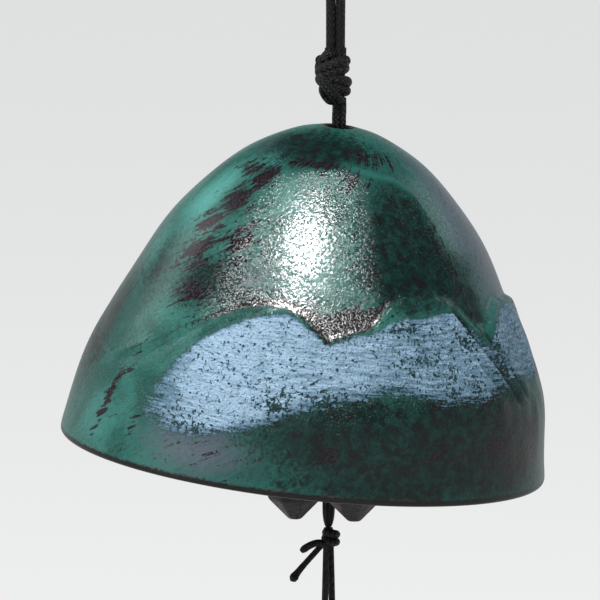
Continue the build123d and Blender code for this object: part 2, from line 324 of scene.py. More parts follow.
# places where the green is brightest, partly pale paint and partly painted light, in the same form
palePaintAndLight = [
    (-64, 43, 12, 6.0, 0, 0.9), (-76, 33, 9, 6.0, 0, 0.5), (-62, 8, 12, 6.0, 0, 0.5),
    (-45, 51, 12, 1.6, 0, 0.6), (-52, 24, 10, 4.0, 0, 0.35), (-18, 46, 14, 4.0, 0, 0.45),
    (2, 34, 12, 4.0, 0, 0.5), (150, 28, 20, 8.0, 0, 0.5), (-110, 30, 14, 8.0, 0, 0.5)]
# thin places in the snow, where specks of the iron show through
thins = [
    (-9, 14.6, 4.2, 2.6, 0, 0.85), (-12, 17.5, 4, 1.2, 0, 0.5), (4, 15.4, 8, 1.8, 0, 0.7),
    (29, 22.5, 6, 2.6, 0, 0.5), (38, 20.0, 3, 2.0, 0, 0.6), (46, 18.8, 3, 2.0, 0, 0.6),
    (46, 25.5, 4, 2.0, 0, 0.8), (24, 27.5, 8, 1.3, 0, 0.55), (58, 20, 4, 6, 0, 0.8),
    (-28, 8.5, 12, 1.8, 0, 0.6), (100, 24, 12, 4, 0, 0.6), (-140, 18, 10, 3, 0, 0.6),
    (160, 22, 8, 3, 0, 0.6)]
# the creases between the right-hand peaks: from and to, in degrees and millimetres, then width and depth
folds = [
    (43, 30.0, 63, 15.5, 0.8, 0.7), (54, 26.5, 68, 16.0, 0.8, 0.7), (49, 22.0, 55, 17.0, 0.6, 0.3),
    (25, 32.0, 30, 22.0, 1.5, 0.2), (120, 31.0, 132, 17.0, 1.1, 0.5), (-150, 27.0, -138, 16.0, 1.2, 0.5),
    (172, 26.0, 160, 17.0, 1.1, 0.4)]
bellLook = {
    "teal": (0.011, 0.068, 0.056),
    "tealPale": (0.024, 0.125, 0.104),
    "tealBrightAndLit": (0.070, 0.280, 0.245),
    # nearly black green, for dark streaks and for painted shade
    "tealDeepAndShade": (0.0022, 0.0125, 0.0110),
    "rub": (0.0045, 0.0030, 0.0040),
    "rubWarm": (0.017, 0.0115, 0.0165),
    "paintedSheen": (0.078, 0.098, 0.125),
    "snow": (0.310, 0.455, 0.600),
    "snowThin": (0.090, 0.175, 0.245),
    "underSnow": (0.006, 0.026, 0.030),
    "rimGround": (0.0060, 0.0050, 0.0048),
    "rimRust": (0.110, 0.072, 0.054),
    "inside": (0.020, 0.022, 0.021),
    "grainHeight": 0.00010,
    "pitHeight": 0.00008,
    "brushHeight": 0.00016,
    "snowHeight": 0.00030,
    "streakHeight": 0.00012,
}


def bellOutline():
    size = bellSize
    side = [(across * size["radius"], (up - 1) * size["height"]) for across, up in bellSide]
    outer = smoothLine(side + [(size["crownFlat"], 0)], 4)
    hole, seat, edge, under = size["crownHole"], size["crownSeat"], size["holeEdge"], -size["crownThickness"]
    # the inner side runs square to the outer one at the wall's distance
    inner = []
    for before, point, after in zip(outer, outer[1:], outer[2:]):
        along = Vector((after[0] - before[0], after[1] - before[1])).normalized()
        place = (point[0] - along[1] * size["wall"], point[1] + along[0] * size["wall"])
        if place[0] > seat + size["innerGap"] and place[1] < under - edge:
            inner.append(place)
    crown = [(hole + edge, 0), (hole, -edge), (hole, under / 2), (hole, under), (seat, under)]
    low, lip = -size["height"], size["rimRound"]
    innerFoot = inner[0][0]
    rim = [(innerFoot, low + lip), (innerFoot + lip * 0.5, low + lip * 0.1), (innerFoot + lip, low),
           (size["radius"] - lip, low), (size["radius"] - lip * 0.2, low + lip * 0.35)]
    return outer + crown + list(reversed(inner))[::2] + rim


def bellPlace(point):
    # degrees round the bell from its front to its right, and millimetres above its rim
    azimuth = math.degrees(math.atan2(point[0], -point[1]))
    return azimuth, (point[2] + bellSize["height"]) / millimetre


def ridgeAt(azimuth):
    return alongTable(rangeRidge, azimuth) * bellSize["height"] / millimetre


def summitAt(azimuth):
    return alongTable(summitRidge, azimuth) * bellSize["height"] / millimetre


def onOuterSide(point):
    size = bellSize
    radius = math.hypot(point[0], point[1])
    share = (point[2] + size["height"]) / size["height"]
    for (wide, low), (narrow, high) in zip(bellSide, bellSide[1:] + [(0.075, 1.0)]):
        if share <= high:
            edge = wide + (narrow - wide) * max(share - low, 0) / (high - low)
            return radius > edge * size["radius"] - size["outerDepth"] and radius > size["outerHole"]
    return False


def foldsAt(azimuth, height):
    # how far the place is from each crease, in millimetres to its right
    near = []
    for startAzimuth, startHeight, endAzimuth, endHeight, width, depth in folds:
        share = (startHeight - height) / (startHeight - endHeight)
        if -0.1 < share < 1.1:
            middle = startAzimuth + (endAzimuth - startAzimuth) * share
            away = math.radians((azimuth - middle + 180) % 360 - 180) * bellSize["foldRadius"] / millimetre
            near.append((away, width, depth, softStep(share, -0.1, 0.1) * (1 - softStep(share, 0.85, 1.1))))
    return near


def bellRelief(azimuth, height):
    # millimetres that the casting stands out at this place
    wander = 0.35 * noise.noise(Vector((azimuth * 0.22, 3.1, 0)))
    wander += 0.2 * noise.noise(Vector((azimuth * 0.7, 7.7, 0)))
    ridge, summit = ridgeAt(azimuth) + wander, summitAt(azimuth)
    # at the left the range flattens out, and only its upper edge shows
    left = softStep(-azimuth, 27, 50) * (1 - softStep(-azimuth, 108, 130))
    foot = softStep(height, 2.0 + 6 * left, 15.0 + 6 * left)
    rangeUp = softStep(ridge - height, -0.35 - 1.5 * left, 0.75 + 3.5 * left) * foot * (1 - 0.85 * left)
    rise = 1.05 * rangeUp
    # the slopes of the range: shallow spurs that run down from the ridge
    spur = noise.noise(Vector((azimuth * 0.075 + height * 0.03, height * 0.05, 1.7)))
    rise += rangeUp * 0.55 * (abs(spur) - 0.22)
    rise += rangeUp * 0.16 * noise.noise(Vector((azimuth * 0.25, height * 0.22, 5.0)))
    for away, width, depth, shown in foldsAt(azimuth, height):
        rise += rangeUp * depth * shown * (hump(away, -width * 1.2, width) - hump(away, width * 0.4, width))
    behind = 1 - softStep(ridge - height, -0.35, 0.75)
    soft = 6 * softStep(-azimuth, 22, 46)
    summitUp = softStep(summit - height, -0.5 - 0.4 * soft, 1.5 + soft)
    rise += behind * 0.55 * summitUp * (1 - softStep(-azimuth, 42, 88))
    # right of its middle the summit falls back into a shallow valley
    valley = softStep(azimuth, 7, 22) * (1 - softStep(azimuth, 34, 46)) * softStep(height, 27, 35)
    rise -= behind * 0.55 * summitUp * valley
    lip = softStep(azimuth, -35, 5) * (1 - softStep(azimuth, 52, 62))
    rise += behind * 0.2 * hump(height, summit - 0.5, 0.8) * lip
    return rise * (1 - softStep(height, 54.0, 55.2))


def snowAt(azimuth, height):
    top, foot = alongTable(snowTop, azimuth), alongTable(snowFoot, azimuth)
    if top <= foot:
        return 0.0
    # the snow fades towards the right, partly thinner paint and partly painted shade
    thinnerAndShaded = 1 - 0.12 * softStep(azimuth, -20, 0) - 0.14 * softStep(azimuth, 4, 26)
    thinnerAndShaded -= 0.06 * softStep(azimuth, 44, 62)
    # at the left the brush left the iron in loose strokes
    ragged = 1 - softStep(-azimuth, 27, 52) * (1 - softStep(-azimuth, 100, 112))
    loose = softStep(-azimuth, 30, 44) * (1 - softStep(-azimuth, 60, 70))
    # the dry brush passes over the creases and lies thick on their upper lips
    inFolds = sum(shown * depth * (hump(away, width * 0.5, width) - 0.4 * hump(away, -width * 1.2, width))
                  for away, width, depth, shown in foldsAt(azimuth, height))
    underTop = softStep(top - height, -0.5 - 1.2 * loose, 0.9 + 2.4 * loose)
    snow = underTop * softStep(height - foot, -2.4, 3.4) * thinnerAndShaded * (0.15 + 0.85 * ragged)
    return max(snow * (1 - 0.5 * inFolds), 0)


def paintedPlaces(table, azimuth, height):
    most = 0.0
    for middle, up, wide, high, lean, strength in table:
        away = (azimuth - middle + 180) % 360 - 180 - (height - up) * lean
        most = max(most, strength * math.exp(-(away / wide) ** 2 - ((height - up) / high) ** 2))
    return most


def deepPaintAndShadeAt(azimuth, height):
    # over the right-hand peaks the dark stops at the ridge
    under = softStep(azimuth, 12, 20) * (1 - softStep(azimuth, 60, 66)) * softStep(height, 22, 24)
    under *= 1 - softStep(height - ridgeAt(azimuth), -0.3, 0.4)
    # painted shade in the creases between the peaks
    inFolds = [hump(away, width * 0.4, width * 0.8) * depth * shown
               for away, width, depth, shown in foldsAt(azimuth, height)]
    return paintedPlaces(deepPaintAndShade, azimuth, height) * (1 - 0.6 * under) + max(inFolds, default=0) * 1.3


def creaseShadeAt(azimuth, height):
    # painted shade with dark patina in the crease above the ridge, black and widest in the notch at the front
    width = 0.55 + 1.9 * hump(azimuth, 6, 11)
    front = softStep(azimuth, -46, -24) * (1 - softStep(azimuth, 15, 23))
    return (0.25 + 0.75 * front) * hump(height, ridgeAt(azimuth) + 0.35 + width * 0.5, width)


def edgeHighlightAt(azimuth, height):
    # a painted highlight: a pale line along the right-hand edge of the summit
    shown = softStep(azimuth, -5, 15) * (1 - softStep(azimuth, 50, 58))
    return hump(height, summitAt(azimuth) + 0.3, 0.5) * shown


def glossAt(azimuth, height):
    # the clear coat lies on the summit, and ends at the valley to its right
    above = softStep(height - ridgeAt(azimuth), -0.5, 0.5)
    lit = softStep(azimuth, -45, -22) * (1 - 0.85 * softStep(azimuth, 11, 21))
    return above * softStep(summitAt(azimuth) - height, -0.5, 1.5) * lit


def roughAt(azimuth, height):
    below = 1 - softStep(height - ridgeAt(azimuth), -0.5, 0.5)
    return 0.25 + 0.75 * glossAt(azimuth, height) + 0.4 * below * softStep(height, 6, 14)


def makeBell():
    bell = spinOutline("castBell", bellOutline(), bellSize["steps"])
    rounding = bell.modifiers.new("rounding", "SUBSURF")
    rounding.levels = rounding.render_levels = 2
    applyModifiers(bell)
    places = [bellPlace(vertex.co) for vertex in bell.data.vertices]
    outer = [onOuterSide(vertex.co) for vertex in bell.data.vertices]
    relief = bell.vertex_groups.new(name="relief")
    sunk, span = bellSize["sunk"], bellSize["reliefSpan"]
    for vertex, place, shown in zip(bell.data.vertices, places, outer):
        rise = bellRelief(*place) if shown else 0.0
        relief.add([vertex.index], min(max((rise + sunk) / span, 0), 1), "REPLACE")
    raised = bell.modifiers.new("relief", "DISPLACE")
    raised.vertex_group = "relief"
    raised.mid_level = 0
    raised.strength = span * millimetre
    level = bell.modifiers.new("level", "DISPLACE")
    level.mid_level = 0
    level.strength = -sunk * millimetre
    applyModifiers(bell)
    bell.vertex_groups.clear()

    coats = {
        "snow": snowAt, "deepAndShade": deepPaintAndShadeAt, "creaseShade": creaseShadeAt, "edge": edgeHighlightAt,
        "rub": partial(paintedPlaces, rubs), "thin": partial(paintedPlaces, thins),
        "pale": partial(paintedPlaces, palePaintAndLight), "paintedSheen": partial(paintedPlaces, paintedSheens),
    }
    for name, coat in coats.items():
        paint(bell, name, [coat(*place) * shown for place, shown in zip(places, outer)])
    paint(bell, "inside", [0.0 if shown else 1.0 for shown in outer])
    paint(bell, "rough", [roughAt(*place) for place in places])
    paint(bell, "gloss", [glossAt(*place) for place in places])
    smoothShade(bell)
    setDown(bell, leaned(bellSize["crown"], bellSize["tilt"]))
    dress(bell, bellMaterial())
    finishPiece(bell, "bell", "bell")


def bellMaterial():
    look = bellLook
    material, tree, shader = newMaterial(
        "verdigrisIron", 0.42, coatRoughness=0.16, specular=0.08, coatIor=2.3)
    upright = tree.nodes.new("ShaderNodeMapping")
    upright.vector_type = "TEXTURE"
    upright.inputs["Location"].default_value = bellSize["crown"]
    upright.inputs["Rotation"].default_value = (0, math.radians(bellSize["tilt"]), 0)
    tree.links.new(objectPlace(tree), upright.inputs["Vector"])
    place = upright.outputs[0]
    # the place is wound round the bell's axis, so that rubs and brush strokes lean as they go up
    parts = tree.nodes.new("ShaderNodeSeparateXYZ")
    tree.links.new(place, parts.inputs[0])

    def wound(radiansPerMetre):
        node = tree.nodes.new("ShaderNodeVectorRotate")
        node.rotation_type = "Z_AXIS"
        feed(tree, node.inputs["Vector"], place)
        feed(tree, node.inputs["Angle"], maths(tree, "MULTIPLY", parts.outputs[2], radiansPerMetre))
        flat = vectors(tree, "NORMALIZE", stretched(tree, node.outputs[0], (1, 1, 0)))
        return stretched(tree, flat, (0.03, 0.03, 0))

    def moved(value, by, amount):
        return maths(tree, "ADD", value, maths(tree, "MULTIPLY", maths(tree, "SUBTRACT", by, 0.5), amount))

    upOnly = stretched(tree, place, (0, 0, 1))
    leaning = vectors(tree, "ADD", wound(-52.0), stretched(tree, upOnly, (0, 0, 0.3)))
    rubStreak = noiseOn(tree, leaning, 900, 4, 0.62, 0.5)
    level = vectors(tree, "ADD", stretched(tree, wound(6.0), (0.14, 0.14, 0)), upOnly)
    brushStreak = noiseOn(tree, level, 2300, 4, 0.65, 0.5)
    steep = vectors(tree, "ADD", wound(-30.0), stretched(tree, upOnly, (0, 0, 0.2)))
    fineStreak = noiseOn(tree, steep, 1500, 3, 0.6)
    patches = noiseOn(tree, place, 90, 4, 0.6, 0.6)
    grain = noiseOn(tree, place, 2600, 2, 0.5)
    pits = noiseOn(tree, place, 1500, 2, 0.6, 0.3)
    specks = noiseOn(tree, place, 1350, 3, 0.7, 0.4)
    fine = noiseOn(tree, place, 2100, 3, 0.7, 0.4)
    mottle = noiseOn(tree, place, 620, 5, 0.7, 0.5)
    snow, rub, rough, thin = (painted(tree, name) for name in ("snow", "rub", "rough", "thin"))

    # the green paint, from its pale clouds to its nearly black places; the darkest are partly painted shade,
    # the brightest partly painted light
    cloudy = moved(patches, fine, 0.5)
    colour = mixed(tree, graded(tree, cloudy, 0.36, 0.62), look["teal"], look["tealPale"])
    # the brightest green is partly pale paint and partly painted light
    brightAndLit = moved(moved(painted(tree, "pale"), patches, 0.9), fineStreak, 0.3)
    colour = mixed(tree, graded(tree, brightAndLit, 0.05, 1.0, 0, 0.9), colour, look["tealBrightAndLit"])
    colour = mixed(tree, graded(tree, fineStreak, 0.50, 0.78, 0, 0.4), colour, look["tealDeepAndShade"])
    # painted sheen: purple-grey reflections painted into the colour
    paintedSheen = moved(moved(painted(tree, "paintedSheen"), fineStreak, 0.9), specks, 0.5)
    colour = mixed(tree, graded(tree, paintedSheen, 0.1, 1.0, 0, 0.85), colour, look["paintedSheen"])
    # nearly black green: partly dark paint, partly painted shade
    deepAndShade = moved(moved(moved(painted(tree, "deepAndShade"), patches, 1.1), fine, 0.9), specks, 0.8)
    deepAndShadeMask = graded(tree, deepAndShade, 0.05, 0.8, 0, 0.97)
    deepAndShadeMask = maths(tree, "MULTIPLY", deepAndShadeMask, graded(tree, mottle, 0.40, 0.50, 0.86, 1))
    colour = mixed(tree, deepAndShadeMask, colour, look["tealDeepAndShade"])
    flecks = maths(tree, "MULTIPLY", deepAndShadeMask, graded(tree, mottle, 0.51, 0.60, 0, 0.8))
    colour = mixed(tree, flecks, colour, look["rimGround"])
    colour = mixed(tree, graded(tree, snow, 0.3, 0.8, 0, 0.85), colour, look["underSnow"])
    # painted highlight along the summit's right-hand edge
    colour = mixed(tree, maths(tree, "MULTIPLY", painted(tree, "edge"), 0.6), colour, look["tealPale"])
    # where it is rubbed off in streaks
    worn = moved(moved(rub, rubStreak, 2.6), specks, 1.2)
    wornColour = mixed(tree, graded(tree, grain, 0.42, 0.6), look["rub"], look["rubWarm"])
    colour = mixed(tree, graded(tree, worn, 0.42, 0.56), colour, wornColour)
    # the dry-brushed snow, with specks of the iron in it
    brushed = moved(moved(snow, brushStreak, 1.25), grain, 0.55)
    speck = maths(tree, "ADD", specks, maths(tree, "MULTIPLY", thin, 0.2))
    brushed = maths(tree, "SUBTRACT", brushed, graded(tree, speck, 0.615, 0.69, 0, 0.9))
    speck = maths(tree, "ADD", pits, maths(tree, "MULTIPLY", thin, 0.1))
    brushed = maths(tree, "SUBTRACT", brushed, graded(tree, speck, 0.59, 0.67, 0, 0.6))
    snowMask = graded(tree, brushed, 0.38, 0.54)
    snowColour = mixed(tree, graded(tree, brushed, 0.55, 1.1), look["snowThin"], look["snow"])
    colour = mixed(tree, snowMask, colour, snowColour)
    # painted shade with dark patina in the crease above the ridge
    creaseShade = graded(tree, moved(moved(painted(tree, "creaseShade"), specks, 1.6), grain, 1.0), 0.3, 0.6)
    colour = mixed(tree, creaseShade, colour, look["rub"])
    # the ground rim shows dark iron with a little rust above it
    height = maths(tree, "ADD", parts.outputs[2], bellSize["height"])
    edge = moved(height, patches, 0.003)
    rust = graded(tree, edge, 0.0013, 0.0019, 1, 0)
    rust = maths(tree, "MULTIPLY", rust, graded(tree, patches, 0.55, 0.64, 0, 0.6))
    colour = mixed(tree, rust, colour, look["rimRust"])
    ground = moved(height, specks, 0.0012)
    colour = mixed(tree, graded(tree, ground, 0.0009, 0.0014, 1, 0), colour, look["rimGround"])
    colour = mixed(tree, painted(tree, "inside"), colour, look["inside"])
    tree.links.new(colour, shader.inputs["Base Color"])
    tree.links.new(graded(tree, snowMask, 0, 1, 0.36, 0.55), shader.inputs["Roughness"])

    # grains stand out of a smoother skin, so that the coat glints on them and shines between them
    grains = maths(tree, "MULTIPLY", graded(tree, grain, 0.48, 0.74), rough)
    normal = bumped(tree, grains, look["grainHeight"])
    normal = bumped(tree, maths(tree, "MULTIPLY", pits, rough), look["pitHeight"], normal)
    normal = bumped(tree, maths(tree, "MULTIPLY", snowMask, brushStreak), look["brushHeight"], normal)
    crust = maths(tree, "MULTIPLY", snow, maths(tree, "ADD", pits, grain))
    normal = bumped(tree, crust, look["snowHeight"], normal)
    normal = bumped(tree, maths(tree, "MULTIPLY", fineStreak, 0.3), look["streakHeight"], normal)
    tree.links.new(normal, shader.inputs["Normal"])
    tree.links.new(normal, shader.inputs["Coat Normal"])
    # the clear coat lies thickest on the grainy summit
    coat = graded(tree, painted(tree, "gloss"), 0.05, 0.9, 0.08, 1.0)
    tree.links.new(coat, shader.inputs["Coat Weight"])
    return material


# Cords

cordLook = {
    "black": (0.0035, 0.0035, 0.0042),
    "fibreGreyAndHighlight": (0.010, 0.010, 0.012),
    "strands": 8,
    "pitch": 0.42,
    "braidHeight": 0.10,
    "fibreHeight": 0.00012,
}


def cordMaterial(name, length, diameter):
    # two families of strands cross over and under each other round the cord
    look = cordLook
    material, tree, shader = newMaterial(name, 0.55, specular=0.2)
    uv = tree.nodes.new("ShaderNodeTexCoord").outputs["UV"]
    parts = tree.nodes.new("ShaderNodeSeparateXYZ")
    tree.links.new(uv, parts.inputs[0])
    around = maths(tree, "MULTIPLY", parts.outputs[1], float(look["strands"]))
    along = maths(tree, "MULTIPLY", parts.outputs[0], float(round(length / diameter / look["pitch"])))
    first, second = maths(tree, "ADD", around, along), maths(tree, "SUBTRACT", around, along)
    profiles = []
    for strand in (first, second):
        middle = maths(tree, "ABSOLUTE", maths(tree, "SUBTRACT", maths(tree, "FRACT", strand), 0.5))
        profiles.append(graded(tree, middle, 0.5, 0.1))
    steps = maths(tree, "ADD", maths(tree, "FLOOR", first), maths(tree, "FLOOR", second))
    over = maths(tree, "LESS_THAN", maths(tree, "FRACT", maths(tree, "MULTIPLY", steps, 0.5)), 0.25)
    chosen = tree.nodes.new("ShaderNodeMix")
    feed(tree, chosen.inputs[0], over)
    feed(tree, chosen.inputs[2], profiles[0])
    feed(tree, chosen.inputs[3], profiles[1])
    braid = chosen.outputs[0]
    fibres = noiseOn(tree, stretched(tree, objectPlace(tree), (1, 1, 0.6)), 5200, 3, 0.6)
    wax = noiseOn(tree, objectPlace(tree), 900, 3, 0.6)
    # the crowns of the strands are painted paler, a painted highlight, and the fibres add grey
    toneAndHighlight = maths(tree, "ADD", maths(tree, "MULTIPLY", braid, 0.5), maths(tree, "MULTIPLY", fibres, 0.7))
    colour = mixed(tree, graded(tree, toneAndHighlight, 0.45, 1.0), look["black"], look["fibreGreyAndHighlight"])
    tree.links.new(colour, shader.inputs["Base Color"])
    tree.links.new(graded(tree, wax, 0.35, 0.65, 0.42, 0.68), shader.inputs["Roughness"])
    normal = bumped(tree, braid, diameter * look["braidHeight"])
    normal = bumped(tree, fibres, look["fibreHeight"], normal)
    tree.links.new(normal, shader.inputs["Normal"])
    return material


def cordCurve(name, points, diameter, swell=()):
    curve = bpy.data.curves.new(name, "CURVE")
    curve.dimensions = "3D"
    spline = curve.splines.new("NURBS")
    spline.points.add(len(points) - 1)
    for point, place in zip(spline.points, points):
        point.co = (*place, 1)
    spline.order_u = 3
    spline.use_endpoint_u = True
    spline.resolution_u = 12
    # the swell gives the thickness at some points, where an end is drawn in or frayed, or a core narrows
    for index, share in swell:
        spline.points[index].radius = share
    curve.bevel_depth = diameter / 2
    curve.bevel_resolution = 6
    curve.use_fill_caps = True
    piece = bpy.data.objects.new(name, curve)
    bpy.context.collection.objects.link(piece)
    return piece


def inMetres(points):
    return [tuple(value * millimetre for value in point) for point in points]


def routeLength(points):
    return sum((Vector(b) - Vector(a)).length for a, b in zip(points, points[1:]))


def asMesh(piece):
    pickOnly(piece)
    bpy.ops.object.convert(target="MESH")
    return bpy.context.object


def cordPiece(name, diameter, points, swell=()):
    piece = asMesh(cordCurve(name, inMetres(points), diameter, swell))
    piece.data.materials.append(cordMaterial(name + "Braid", routeLength(inMetres(points)), diameter))
    smoothShade(piece)
    return piece


# the two free cords: their routes are in millimetres
loopCord = {
    "diameter": 0.0016,
    "length": 0.0505,
    "points": [(-0.80, 0, -21.8), (-0.76, 0, -14.2), (-0.90, 0, -11.0), (-4.247, 0, -2.441), (-1.978, 0, 0.8),
               (1.978, 0, 0.8), (4.247, 0, -2.441), (0.90, 0, -11.0), (0.78, 0, -14.4), (0.76, 0, -21.8)],
}
stripCord = {
    "diameter": 0.0011,
    "length": 0.0389,
    "points": [(-1.487, -0.44, -105.64), (-1.967, -1.013, -123.539), (-1.473, -0.425, -124.34),
               (-0.761, 0.425, -124.34), (-0.267, 1.013, -123.539), (-0.747, 0.44, -105.64)],
}


def makeFreeCord(name, node, body, route):
    points = inMetres(route["points"])
    cord = cordCurve(name, points, route["diameter"])
    dress(cord, cordMaterial(name + "Braid", route["length"], route["diameter"]))
    finishPiece(cord, node, body)


# Knots and lengths of cord: a run has its thickness, its points in millimetres and, for some, its swell

topKnot = {
    "topKnot": (0.0019, [
        (-0.5, 0.4, -21.7), (-1.6, -0.7, -22.7), (-2.5, -0.3, -24.0), (-2.5, 0.9, -25.3),
        (-0.9, 2.0, -25.7), (0.9, 1.7, -25.1), (1.55, 0.3, -24.6), (0.9, -1.5, -24.5), (-0.8, -2.1, -25.2),
        (-2.4, -1.2, -25.9), (-2.5, 0.4, -26.7), (-1.4, 1.8, -27.5), (0.4, 2.1, -28.2), (1.6, 1.0, -28.5),
        (1.6, -0.7, -28.3), (0.3, -1.9, -27.6), (-1.3, -1.9, -27.2), (-2.0, -0.9, -27.9),
        (-1.5, 0.3, -29.2), (-0.6, -0.8, -30.0), (0.5, -0.4, -29.4)]),
    "topKnotSecond": (0.0019, [
        (-2.4, -0.4, -23.2), (-2.4, 0.9, -24.1), (-0.9, 2.0, -24.4), (0.9, 1.8, -23.9), (1.75, 0.3, -23.4),
        (1.0, -1.5, -23.3), (-0.8, -2.1, -24.0), (-2.5, -1.2, -24.8), (-2.5, 0.5, -25.5),
        (-1.4, 1.9, -26.3), (0.5, 2.2, -27.0), (1.8, 1.0, -27.1), (1.8, -0.8, -26.8), (0.3, -2.0, -26.3),
        (-1.4, -2.0, -26.0), (-2.1, -0.9, -26.7)]),
    "topKnotFront": (0.0019, [
        (-1.5, -0.3, -24.6), (-2.4, -1.7, -25.9), (-1.5, -2.5, -27.0), (-0.3, -2.4, -28.6),
        (0.4, -1.2, -29.7), (0.6, -0.2, -30.0)]),
    "topKnotBack": (0.0019, [
        (1.0, 0.6, -23.0), (0.9, 2.2, -24.6), (-0.4, 2.7, -26.2), (-1.2, 1.9, -28.2), (0.0, 0.9, -29.6),
        (0.6, 0.1, -30.0)]),
    "topKnotInner": (0.0019, [(-0.85, 0, -21.2), (-0.6, 0, -24.5), (0.2, 0, -27.5), (0.6, 0, -30.3)]),
    "topKnotInnerRight": (0.0019, [(0.85, 0, -21.2), (0.7, 0, -24.5), (0.5, 0.2, -27.5), (0.6, 0, -30.2)]),
}
neckCord = {"neckCord": (0.00235, [
    (0.6, 0, -29.6), (0.66, 0.05, -31.2), (0.56, -0.05, -32.8), (0.6, 0, -34.4), (0.6, 0, -35.3)],
    ((-1, 0.55),))}
stopperKnot = {
    "stopperKnot": (0.0017, [
        (0.3, 0.2, -3.7), (-1.4, -0.9, -3.9), (-0.6, -2.1, -4.0), (1.3, -1.8, -4.1), (2.2, -0.1, -4.4),
        (1.4, 1.7, -4.7), (-0.5, 2.2, -4.8), (-2.1, 0.9, -5.1), (-2.0, -1.0, -5.7), (-0.5, -2.2, -6.3),
        (1.4, -1.7, -6.5), (2.2, 0.1, -6.3), (1.2, 1.8, -6.5), (-0.7, 2.0, -7.0), (-1.6, 0.5, -7.3),
        (-0.6, -0.5, -7.3)]),
    "stopperInner": (0.0024, [(0, 0, -3.4), (0.3, 0.1, -5.0), (-0.2, 0, -6.6), (0, 0, -8.0)], ((-1, 0.7),)),
    "stopperNeck": (0.0023, [(0, 0, -1.45), (0, 0, -2.4), (0, 0, -3.6)], ((0, 0.8),)),
    # the doubled cord inside the knot fills it, so that no light comes up through the crown hole
    "stopperCore": (0.0060, [
        (0, 0, -3.65), (0, 0, -4.3), (0, 0, -5.6), (0, 0, -6.9)],
        ((0, 0.97), (1, 0.82), (2, 0.75), (-1, 0.5))),
}
clapperCord = {"clapperCord": (0.0021, [
    (0, 0, 1.0), (0, 0, -6), (0.12, 0, -18), (-0.08, 0.06, -31), (0.05, -0.04, -44), (0, 0, -52),
    (0, 0, -57.0), (0, 0, -58.0)], ((0, 0.5), (-1, 0.5)))}
cupKnot = {"cupKnot": (0.0015, [
    (0, 0, 1.0), (-1.05, -0.3, 1.1), (-0.2, -1.25, 1.1), (1.1, -0.6, 1.2), (1.1, 0.8, 1.5),
    (-0.3, 1.3, 1.8), (-1.3, 0.2, 2.0), (-0.7, -1.1, 2.1), (0.8, -1.0, 2.2), (1.0, 0.2, 2.2),
    (0.2, 0.3, 2.3)])}
tieKnot = {
    "tieKnot": (0.0014, [
        (-1.22, 0.3, -102.31), (-1.67, -0.6, -102.41), (-0.82, -1.4, -102.51), (0.08, -0.8, -102.71),
        (0.23, 0.4, -103.01), (-0.82, 1.3, -103.21), (-1.67, 0.5, -103.51), (-1.62, -0.7, -103.81),
        (-0.82, -1.45, -103.91), (0.18, -0.8, -104.01), (0.08, 0.5, -104.31), (-1.12, 1.1, -104.71),
        (-1.72, 0.1, -104.91), (-1.12, -0.4, -104.91)]),
    "tieCore": (0.0018, [
        (-1.117, 0, -101.74), (-1.117, 0, -102.8), (-1.12, 0, -105.0)], ((0, 0.8), (-1, 0.7))),
    "tieStrand0": (0.0011, [(-1.67, -0.35, -102.21), (-1.52, -0.42, -103.81), (-1.49, -0.44, -105.51)]),
    "tieStrand1": (0.0011, [(-0.67, 0.35, -102.21), (-0.72, 0.42, -103.81), (-0.75, 0.44, -105.51)]),
}
shortEnd = {"shortEnd": (0.0012, [
    (-1.32, -0.8, -104.76), (-1.92, -0.9, -104.26), (-3.12, -1.0, -104.11), (-4.42, -1.0, -104.66),
    (-5.37, -0.9, -105.36), (-5.67, -0.88, -105.66)], ((-2, 1.1), (-1, 0.6)))}
longEnd = {"longEnd": (0.0010, [
    (-1.92, 0.35, -104.41), (-3.12, 0.3, -105.81), (-5.12, 0.15, -108.01), (-6.52, 0.1, -109.71),
    (-6.92, 0.1, -110.31), (-7.02, 0.1, -110.91)], ((-3, 1.2), (-2, 1.75), (-1, 0.9)))}


def makeCord(runs, node, body, place=None):
    pieces = [cordPiece(name, *run) for name, run in runs.items()]
    piece = joined(pieces[0].name, pieces) if len(pieces) > 1 else pieces[0]
    if place is not None:
        setDown(piece, place)
    finishPiece(piece, node, body)


def makeKnots():
    size = clapperSize
    hanging = leaned(size["pivot"], size["lean"])
    # the cup knot carries the clapper by the roof of its cup
    cupFoot = -size["cordLength"] + size["lift"] + size["cupDepth"] - size["knotHeight"]
    makeCord(topKnot, "top_knot", "upper_knot")
    makeCord(neckCord, "neck_cord", "upper_knot")
    makeCord(stopperKnot, "stopper_knot", "stopper", leaned(bellSize["crown"], bellSize["tilt"]))
    makeCord(clapperCord, "clapper_cord", "clapper_line", hanging)
    makeCord(cupKnot, "cup_knot", "clapper_line", hanging @ Matrix.Translation((0, 0, cupFoot)))
    makeCord(tieKnot, "tie_knot", "tie")
    makeCord(shortEnd, "tie_short_end", "tie")
    makeCord(longEnd, "tie_long_end", "tie")


# Clapper

clapperSize = {
    "pivot": (-0.000420529, 0, -0.0435438),
    "lean": 0.7,
    "cordLength": 0.057,
    "lift": 0.0011,
    "width": 0.0244,
    "height": 0.0125,
    "lobeWidth": 0.0104,
    "hubRadius": 0.0055,
    "hubRecess": 0.003,
    "bore": 0.00135,
    "cup": 0.0028,
    "cupDepth": 0.0056,
    "knotHeight": 0.0033,
    "edge": 0.0008,
    "topEdge": 0.0007,
    "boreTop": 0.02,
    "overrun": 0.002,
    "grain": 0.00024,
    "steps": 32,
    "turn": 37,
}
